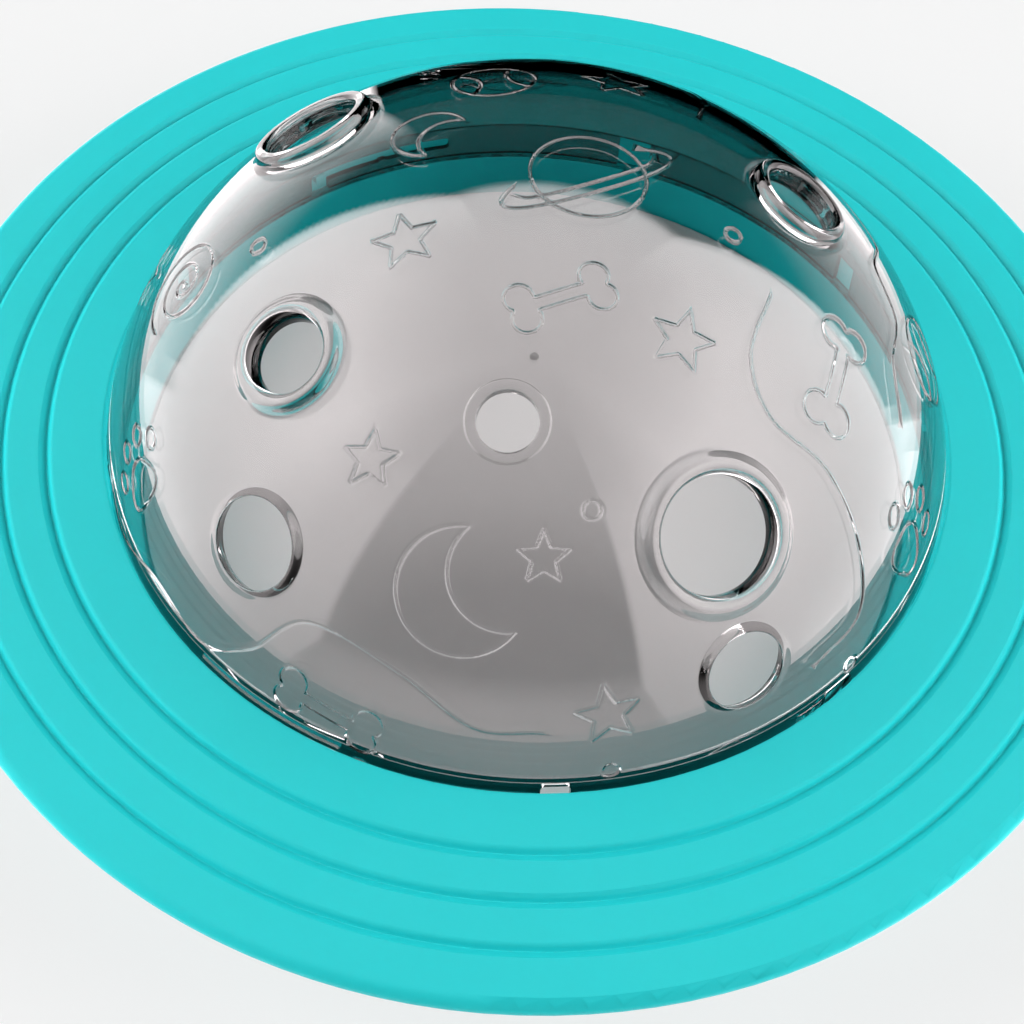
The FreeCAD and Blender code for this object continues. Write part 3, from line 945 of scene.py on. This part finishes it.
@dataclass
class Dome:
    """The clear dome: an ellipse shell on a straight skirt, in millimetres."""

    height: float = 69.8
    centre_drop: float = 13.3
    wall: float = 2.8
    flange_z: float = 29.0
    skirt_r: float = 95.2
    skirt_join_drop: float = 0.3
    skirt_wall: float = 1.4
    skirt_bottom: float = 19.2
    shoulder_rise: float = 2.0
    shoulder_round: float = 0.4
    shoulder_fillet: float = 0.2
    shoulder_segments: int = 720
    shoulder_steps: int = 6
    fillet_steps: int = 5
    grid_step: float = 2.2
    grid_least: int = 6
    grid_clearance: float = 0.7
    ring_segments: int = 96
    bore_steps: int = 7
    bore_end_steps: int = 6
    holes: tuple[TreatHole, ...] = (
        TreatHole(-95.4, 25.8, 12.2, Mouth(0.25, 0.5, 2.0, 0.25)),
        TreatHole(-57.0, 42.6, 23.8, Mouth(1.6, 3.0, 2.6, 3.2)),
        TreatHole(-148.5, 32.8, 15.8, Mouth(1.6, 3.0, 2.6, 3.2)),
        TreatHole(-130.7, 53.2, 19.0, Mouth(0.4, 2.4, 0.3, 0.3, 1.0)),
        TreatHole(-58.0, 62.9, 17.0, Mouth(0.4, 2.4, 0.3, 0.3, 1.0)),
        TreatHole(145.5, 36.8, 21.8, RoundLip(3.2)),
        TreatHole(22.5, 33.0, 17.6, RoundLip(3.0)),
    )
    lock_count: int = 3
    peg_azimuth: float = 127.7
    entry_half_width: float = 2.5
    slot_turn: float = 21.7
    slot_top_drop: float = 3.0
    slot_height: float = 3.6
    detent_height: float = 0.5
    detent_angle: float = 1.2
    wide_gap: Pair = (76.5, 5.0)
    narrow_gap: Pair = (36.6, 3.7)
    gap_top_rise: float = 1.6
    gap_round: float = 1.0
    entry_round: float = 0.4
    foot_round: float = 0.3
    detent_round: float = 0.2
    corner_steps: int = 5
    edge_step: float = 0.8
    engraving: Engraving = Engraving()

    @cached_property
    def outer(self) -> ShellFace:
        """The outer face."""
        centre_z = self.flange_z - self.centre_drop
        half_height = self.height + self.centre_drop
        share = (self.centre_drop - self.skirt_join_drop) / half_height
        half_width = self.skirt_r / math.sqrt(1 - share**2)
        return ShellFace(half_width, half_height, centre_z, self.flange_z - self.skirt_join_drop)

    @cached_property
    def inner(self) -> ShellFace:
        """The inner face."""
        face = self.outer
        low_z = self.flange_z + self.shoulder_rise + self.shoulder_round
        half_width, half_height = face.half_width - self.wall, face.half_height - self.wall
        return ShellFace(half_width, half_height, face.centre_z, low_z, -1.0)

    @cached_property
    def skirt(self) -> SkirtFace:
        """The skirt's inner face."""
        top_z = self.flange_z + self.shoulder_rise - self.shoulder_fillet
        return SkirtFace(self.skirt_r - self.skirt_wall, top_z)

    def edge_outline(self) -> Array:
        """Lower edge of the skirt with its slots and gaps, as (azimuth, height) all the way round."""
        top = self.flange_z + self.gap_top_rise
        slot_top = self.flange_z - self.slot_top_drop
        slot_low = slot_top - self.slot_height
        low, foot, wide = self.skirt_bottom, self.foot_round, self.gap_round
        entry = math.degrees(self.entry_half_width / self.skirt_r)
        shut = self.peg_azimuth - self.slot_turn
        middle = self.peg_azimuth - self.slot_turn / 2
        detent = self.detent_angle / 2
        raised = slot_low + self.detent_height
        corners = []
        for azimuth, angle in (self.narrow_gap, self.wide_gap):
            start, end = azimuth - angle / 2, azimuth + angle / 2
            corners += [(start, low, foot), (start, top, wide), (end, top, wide), (end, low, foot)]
        corners += [
            (self.peg_azimuth - entry, low, foot),
            (self.peg_azimuth - entry, slot_low, self.entry_round),
            (middle + detent, slot_low, 0),
            (middle + detent, raised, self.detent_round),
            (middle - detent, raised, self.detent_round),
            (middle - detent, slot_low, 0),
            (shut, slot_low, wide),
            (shut, slot_top, wide),
            (self.peg_azimuth + entry, slot_top, wide),
            (self.peg_azimuth + entry, low, foot),
        ]
        degree = math.radians(1) * self.skirt_r
        third = 360.0 / self.lock_count
        path = []
        for index in range(self.lock_count):
            path += [((azimuth + third * index) * degree, z, rounding) for azimuth, z, rounding in corners]
        rounded = self._rounded(path, 360.0 * degree)
        rounded[:, 0] /= degree
        return rounded

    def _rounded(self, path: list[Triple], around: float) -> Array:
        """Round the corners of a closed edge that runs once round, and divide it into short steps.

        Args:
            path: Corners as (length round, height, rounding).
            around: Length of one full turn.

        Returns:
            Points of the edge, without a repeat of the first.
        """
        count = len(path)
        spots = []
        for index, (x, z, rounding) in enumerate(path):
            here = np.array([x, z])
            back = np.array(path[index - 1][:2]) - [around if index == 0 else 0, 0] - here
            ahead = np.array(path[(index + 1) % count][:2]) + [around if index == count - 1 else 0, 0] - here
            if rounding == 0:
                spots.append(here)
                continue
            back, ahead = unit(back), unit(ahead)
            for turn in quarter(self.corner_steps):
                spots.append(here + rounding * (back * (1 - math.sin(turn)) + ahead * (1 - math.cos(turn))))
        spots.append(spots[0] + [around, 0])
        points = []
        for start, end in zip(spots, spots[1:]):
            steps = max(1, math.ceil(np.linalg.norm(end - start) / self.edge_step))
            points += [start + (end - start) * step / steps for step in range(steps)]
        return np.array(points)

    def hole_rings(self, hole: TreatHole) -> tuple[Array, Array]:
        """Rings of one hole from the outer face over the rim and through the bore to the inner face.

        Args:
            hole: The hole.

        Returns:
            Ring positions and their normals.
        """
        centre, axis, first, second = self.outer.tangent_frame(hole.azimuth, hole.lean)
        turn = full_turn(self.ring_segments)
        spoke = np.outer(np.cos(turn), first) + np.outer(np.sin(turn), second)
        bore_r = hole.bore / 2
        rings = []
        for radius, height, level in hole.rim.section(bore_r):
            flat = centre + spoke * radius
            base = self.outer.drop(flat, axis)
            rings.append(flat + axis * (base * (1 - level) + height)[:, None])
        last = rings[-1]
        low_r = bore_r + hole.rim.undercut
        rounding = hole.rim.inner_round
        flat = centre + spoke * low_r
        wall_end = flat + axis * (self.inner.drop(flat, axis) + rounding)[:, None]
        for step in np.linspace(0, 1, self.bore_steps)[1:]:
            rings.append(last + (wall_end - last) * step)
        for angle in quarter(self.bore_end_steps)[1:]:
            spot = centre + spoke * (low_r + rounding * (1 - math.cos(angle)))
            base = self.inner.drop(spot, axis) + rounding * (1 - math.sin(angle))
            rings.append(spot + axis * base[:, None])
        grid = np.array(rings)
        along = np.gradient(grid, axis=0)
        around = np.roll(grid, -1, axis=1) - np.roll(grid, 1, axis=1)
        normals = unit(np.cross(around, along))
        normals[0] = self.outer.from_chart(self.outer.chart(grid[0]))[1]
        normals[-1] = self.inner.from_chart(self.inner.chart(grid[-1]))[1]
        return grid, normals

    def shoulder(self, parts: MeshParts) -> Array:
        """Step between the dome's inner face and the thin skirt.

        Args:
            parts: The mesh that grows.

        Returns:
            Vertex numbers of its rings, from the upper one down.
        """
        z = self.flange_z + self.shoulder_rise
        edge, fillet = self.shoulder_round, self.shoulder_fillet
        start_r = float(self.inner.radius(np.array(z + edge)))
        end_r = self.skirt.radius
        section = []
        for angle in quarter(self.shoulder_steps):
            side, down = math.cos(angle), math.sin(angle)
            section.append((start_r + edge * (1 - side), z + edge * (1 - down), -side, -down))
        for angle in quarter(self.fillet_steps):
            side, down = math.sin(angle), math.cos(angle)
            section.append((end_r - fillet * (1 - side), z - fillet * (1 - down), -side, -down))
        across = spokes(full_turn(self.shoulder_segments))
        level = np.ones(len(across))
        grid = np.array([np.column_stack([across * r, level * height]) for r, height, _, _ in section])
        normals = np.array([np.column_stack([across * side, level * rise]) for _, _, side, rise in section])
        numbers = parts.add_points(grid.reshape(-1, 3)).reshape(grid.shape[:2])
        parts.add_grid(numbers, normals)
        return numbers

    def background(self, face: MappedFace, low_length: float) -> Array:
        """Evenly spread points on the flat map of a face.

        Args:
            face: The face.
            low_length: Arc length of the lower edge.

        Returns:
            Map coordinates.
        """
        flat = [np.zeros((0 if face.first_length else 1, 2))]
        lengths = np.arange(face.first_length + self.grid_step, low_length, self.grid_step)
        for number, length in enumerate(lengths):
            position, _ = face.points(np.array([length]), np.array([0.0]))
            count = max(self.grid_least, round(2 * math.pi * position[0, 0] / self.grid_step))
            turn = (np.arange(count) + number % 2 / 2) * 2 * math.pi / count
            flat.append(length * spokes(turn))
        return np.concatenate(flat)

    def face_surface(
        self,
        parts: MeshParts,
        face: MappedFace,
        edge: Array,
        loops: list[Array],
        engraving: Engraving | None = None,
    ) -> None:
        """Mesh one face between its lower edge and its holes.

        Args:
            parts: The mesh that grows.
            face: The face.
            edge: Vertex numbers of the lower edge.
            loops: Vertex numbers of each hole's ring.
            engraving: Lines sunk into the face.
        """
        points = np.concatenate(parts.vertices)
        borders = [edge] + loops
        numbers = np.concatenate(borders)
        feature = face.chart(points[numbers])
        details = engraving.details(face) if engraving else np.zeros((0, 2))
        spread = self.background(face, np.hypot(*feature[: len(edge)].T).max())
        taken = np.concatenate([feature, details])
        near = tree_of(np.column_stack([taken, np.zeros(len(taken))]))
        keep = [near.find((*spot, 0.0))[2] > self.grid_clearance * self.grid_step for spot in spread]
        extra = np.concatenate([details, spread[keep]])
        place, extra_normals = face.from_chart(extra)
        if engraving:
            place, extra_normals = engraving.sink(face, place, extra_normals)
        added = parts.add_points(place)
        chart = np.concatenate([feature, extra])
        names = np.concatenate([numbers, added])
        runs = np.split(np.arange(len(numbers)), np.cumsum([len(loop) for loop in borders])[:-1])
        found = triangles(chart, np.concatenate([np.column_stack([run, np.roll(run, -1)]) for run in runs]))
        middle = chart[found].mean(1)
        inside = self._inside(middle, feature[runs[0]])
        for run in runs[1:]:
            inside &= ~self._inside(middle, feature[run])
        found = found[inside]
        if face.outward < 0:
            found = found[:, ::-1]
        normals = np.concatenate([face.from_chart(feature)[1], extra_normals])
        parts.add_faces(names[found], normals[found])

    @staticmethod
    def _inside(spots: Array, loop: Array) -> Array:
        """Whether each spot lies inside a closed loop of the flat map."""
        inside = np.zeros(len(spots), bool)
        x, y = spots[:, 0], spots[:, 1]
        for (x0, y0), (x1, y1) in zip(loop, np.roll(loop, -1, axis=0)):
            if y0 == y1:
                continue
            crosses = (y0 > y) != (y1 > y)
            inside ^= crosses & (x < x0 + (y - y0) * (x1 - x0) / (y1 - y0))
        return inside

    def build(self, material: bpy.types.Material) -> bpy.types.Object:
        """Build the dome.

        Args:
            material: Its finish.

        Returns:
            The dome object, placed on its body.
        """
        parts = MeshParts()
        edge = self.edge_outline()
        across = spokes(np.radians(edge[:, 0]))
        skirts = []
        for radius in (self.outer.radius(edge[:, 1]), np.full(len(edge), self.skirt.radius)):
            skirts.append(parts.add_points(np.column_stack([across * radius[:, None], edge[:, 1]])))
        points = np.concatenate(parts.vertices)
        ahead = np.roll(np.arange(len(edge)), -1)
        quads = np.column_stack([skirts[0], skirts[0][ahead], skirts[1][ahead], skirts[1]])[:, ::-1]
        one, two, three = (points[quads[:, column]] for column in range(3))
        flat = unit(np.cross(two - one, three - one))
        parts.add_faces(quads, np.repeat(flat, 4, axis=0))
        outer_loops, inner_loops = [], []
        for hole in self.holes:
            grid, normals = self.hole_rings(hole)
            numbers = parts.add_points(grid.reshape(-1, 3)).reshape(grid.shape[:2])
            parts.add_grid(numbers, normals)
            outer_loops.append(numbers[0])
            inner_loops.append(numbers[-1])
        step = self.shoulder(parts)
        self.face_surface(parts, self.outer, skirts[0], outer_loops, self.engraving)
        self.face_surface(parts, self.inner, step[0], inner_loops)
        self.face_surface(parts, self.skirt, skirts[1], [step[-1]])
        made = parts.build("clear_dome", material)
        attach(made, "dome")
        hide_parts("dome")
        LOG.info("built clear_dome with %d faces", len(parts.faces))
        return made


@dataclass(frozen=True)
class SoftLamp:
    """Square lamp that points at the bowl; angles in degrees, power in watts."""

    name: str
    azimuth: float
    rise: float
    power: float
    size: float = 1.7
    distance: float = 2.6

    def build(self) -> None:
        """Add the lamp, which lights matt surfaces alone."""
        data = bpy.data.lights.new(self.name, "AREA")
        data.shape = "SQUARE"
        data.size = self.size
        data.energy = self.power
        lamp = add_object(self.name, data)
        turn, rise = math.radians(self.azimuth), math.radians(self.rise)
        away = Vector((math.cos(turn) * math.cos(rise), math.sin(turn) * math.cos(rise), math.sin(rise)))
        lamp.location = away * self.distance
        lamp.rotation_euler = away.to_track_quat("Z", "Y").to_euler()
        lamp.visible_camera = False
        lamp.visible_transmission = False
        lamp.visible_glossy = False


@dataclass
class Studio:
    """Pale round studio, soft lamps at the sides, softboxes and a ceiling for the gloss, and the camera."""

    floor_r: float = 4.0
    wall_height: float = 4.0
    segments: int = 128
    floor_colour: Triple = (0.9, 0.9, 0.9)
    floor_seen: float = 0.93
    floor_seen_share: float = 0.8
    target: Triple = (-0.0022, -0.0269, 0.029)
    distance: float = 0.45
    elevation: float = 55.25
    roll: float = 4.49
    lens: float = 71.76
    lamps: tuple[SoftLamp, ...] = (
        SoftLamp("left_lamp", 180.0, 20.0, 76.0),
        SoftLamp("right_lamp", 0.0, 20.0, 75.0),
        SoftLamp("back_lamp", 90.0, 30.0, 8.0),
    )
    sensor: float = 36.0
    clip_start: float = 0.01
    tent_r: float = 0.9
    tent_low_radii: Pair = (0.14, 0.3)
    tent_rises: Pair = (-3.0, 90.0)
    tent_segments: int = 360
    tent_centre: float = 0.05
    tent_gap: float = 0.0005
    tent_colour: Triple = (1.05, 0.98, 0.985)
    softbox_azimuths: Pair = (169.5, -2.5)
    softbox_half_angle: float = 59.5
    softbox_edge: float = 1.5
    softbox_rises: Levels = (-20, -10, 0, 15, 35, 47, 55, 65, 75, 85)
    softbox_levels: Levels = (4.9, 5.1, 5.5, 6.7, 7.6, 7.4, 6.3, 5.2, 4.4, 4.0)
    softbox_slopes: tuple[Pair, ...] = ((0.489, 1.167), (-0.7, 1.563))
    softbox_slope_edge: float = 0.03
    fade_rises: Pair = (55, 100)
    fade_angles: Levels = (25, 45, 59.5)
    front_fade: Levels = (1.0, 0.68, 0.55)
    back_fade: Levels = (1.0, 0.88, 0.86)
    ceiling_forths: Levels = (-1.0, -0.85, -0.57, -0.26, 0.0, 0.3, 0.7)
    ceiling_levels: Levels = (0.0, 0.2, 2.1, 3.2, 4.0, 4.8, 5.4)
    ceiling_back_rises: Pair = (41.5, 43.5)
    panel_rises: Levels = (-20, 0, 12, 20)
    panel_levels: Levels = (3.0, 2.6, 1.2, 0.0)
    panel_shares: Pair = (1.0, 0.65)
    apron_rises: Levels = (-25, -5, 5)
    apron_levels: Levels = (2.1, 1.5, 0.0)

    def build(self) -> None:
        """Build the studio, its lamps and the camera."""
        paint = StudioPaint("studio_paint", self.floor_colour, self.floor_seen, self.floor_seen_share)
        self._room(paint.material())
        for lamp in self.lamps:
            lamp.build()
        self._tent()
        self._camera()
        LOG.info("built the studio and the camera")

    def _room(self, paint: bpy.types.Material) -> None:
        """Floor disc and round wall in one mesh."""
        count = self.segments
        ring = spokes(full_turn(count)) * self.floor_r
        points = [np.column_stack([ring, np.full(count, height)]) for height in (0.0, self.wall_height)]
        faces = [tuple(range(count))]
        faces += [(i, i + count, (i + 1) % count + count, (i + 1) % count) for i in range(count)]
        room = add_mesh("studio_room", np.concatenate(points).tolist(), faces, paint)

    def _glow(self, azimuth: Array, rise: Array) -> Array:
        """Brightness of the softboxes and the ceiling panel by direction.

        Args:
            azimuth: Direction round the bowl, in degrees.
            rise: Elevation, in degrees.

        Returns:
            Emission strength.
        """
        turn, steep = np.radians(azimuth), np.radians(rise)
        forth = np.sin(turn) * np.cos(steep)
        low = 1 - np.interp(rise, self.fade_rises, (0, 1))
        aside, panel = np.zeros_like(rise), np.zeros_like(rise)
        boxes = zip(self.softbox_azimuths, self.softbox_slopes, self.panel_shares)
        for centre, (level, deep), share in boxes:
            above = np.sin(steep) - np.cos(steep) * (level * np.cos(turn) + deep * np.sin(turn))
            away = np.abs((azimuth - centre + 180) % 360 - 180)
            edge = np.clip((self.softbox_half_angle - away) / self.softbox_edge, 0, 1)
            panel = np.maximum(panel, edge * share * np.interp(rise, self.panel_rises, self.panel_levels))
            edge = edge * np.clip(above / self.softbox_slope_edge, 0, 1)
            front = np.interp(away, self.fade_angles, self.front_fade)
            back = np.interp(away, self.fade_angles, self.back_fade)
            aside = np.maximum(aside, edge * (1 - low * (1 - np.where(forth < 0, front, back))))
        side = np.interp(rise, self.softbox_rises, self.softbox_levels) * aside
        top = np.interp(forth, self.ceiling_forths, self.ceiling_levels)
        top = np.where(forth > 0, top * np.interp(rise, self.ceiling_back_rises, (0, 1)), top)
        apron = np.where(forth < 0, np.interp(rise, self.apron_rises, self.apron_levels), 0)
        return np.max([side, panel, top, apron], axis=0)

    def _tent(self) -> None:
        """Softboxes and ceiling panel that only gloss shows, as one glowing shell round the bowl."""
        count = self.tent_segments
        turn = full_turn(count)
        low = [(math.hypot(r, self.tent_centre), r) for r in (*self.tent_low_radii, self.tent_r)]
        rings = [(radius, -math.degrees(math.atan2(self.tent_centre, r))) for radius, r in low]
        rings += [(self.tent_r, rise) for rise in np.arange(*self.tent_rises)]
        points, glow, faces = [], [], []
        for radius, rise in rings:
            level = radius * math.cos(math.radians(rise))
            height = max(self.tent_centre + radius * math.sin(math.radians(rise)), self.tent_gap)
            points += np.column_stack([level * spokes(turn), np.full(count, height)]).tolist()
            glow.append(self._glow(np.degrees(turn), np.full(count, rise)))
        ahead = np.roll(np.arange(count), -1)
        for start in range(0, count * (len(rings) - 1), count):
            lower = np.column_stack([np.arange(count), ahead]) + start
            faces += np.column_stack([lower, lower[:, ::-1] + count]).tolist()
        shader = Shader("light_tent")
        colour = shader.node("ShaderNodeAttribute", {"attribute_name": "glow"}, output="Color")
        glowing = shader.finish(shader.node("ShaderNodeEmission", None, {"Color": colour}))
        tent = add_mesh("light_tent", points, faces, glowing)
        shades = np.outer(np.concatenate(glow), self.tent_colour)
        shades = np.column_stack([shades, np.ones(len(shades))])
        tent.data.attributes.new("glow", "FLOAT_COLOR", "POINT").data.foreach_set("color", shades.ravel())
        tent.visible_camera = False
        tent.visible_diffuse = False
        tent.visible_shadow = False

    def _camera(self) -> None:
        """Camera at the photograph's viewing angle."""
        data = bpy.data.cameras.new("photo_camera")
        data.lens = self.lens
        data.sensor_width = self.sensor
        data.clip_start = self.clip_start
        camera = add_object("photo_camera", data)
        rise, turn = math.radians(self.elevation), math.radians(self.roll)
        forward = Vector((0, math.cos(rise), -math.sin(rise)))
        level = Vector((1, 0, 0))
        upward = Vector((0, math.sin(rise), math.cos(rise)))
        right = math.cos(turn) * level + math.sin(turn) * upward
        up = -math.sin(turn) * level + math.cos(turn) * upward
        placed = Matrix((right, up, -forward)).transposed().to_4x4()
        placed.translation = Vector(self.target) - self.distance * forward
        camera.matrix_world = placed
        bpy.context.scene.camera = camera


def set_light_paths() -> None:
    """Plain view and the light bounces of the render."""
    scene = bpy.context.scene
    scene.view_settings.view_transform = "Standard"
    scene.cycles.glossy_bounces = GLOSSY_BOUNCES
    scene.cycles.transmission_bounces = TRANSMISSION_BOUNCES
    scene.cycles.transparent_max_bounces = TRANSPARENT_BOUNCES


def main() -> None:
    """Build the bowl and its studio."""
    logging.basicConfig(level=logging.INFO, format="%(name)s: %(message)s")
    set_light_paths()
    Studio().build()
    dress("saucer", TEAL.material())
    dress("base_plate", WHITE.material())
    dress("floor_gasket", GASKET.material())
    dress("seal_ring", SEAL.material())
    steel, rubber = STEEL.material(), RUBBER.material()
    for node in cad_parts:
        if node.startswith("screw_"):
            dress(node, steel)
        if node.startswith("foot_"):
            dress(node, rubber)
    Dome().build(CLEAR.material())


if __name__ == "__main__":
    main()
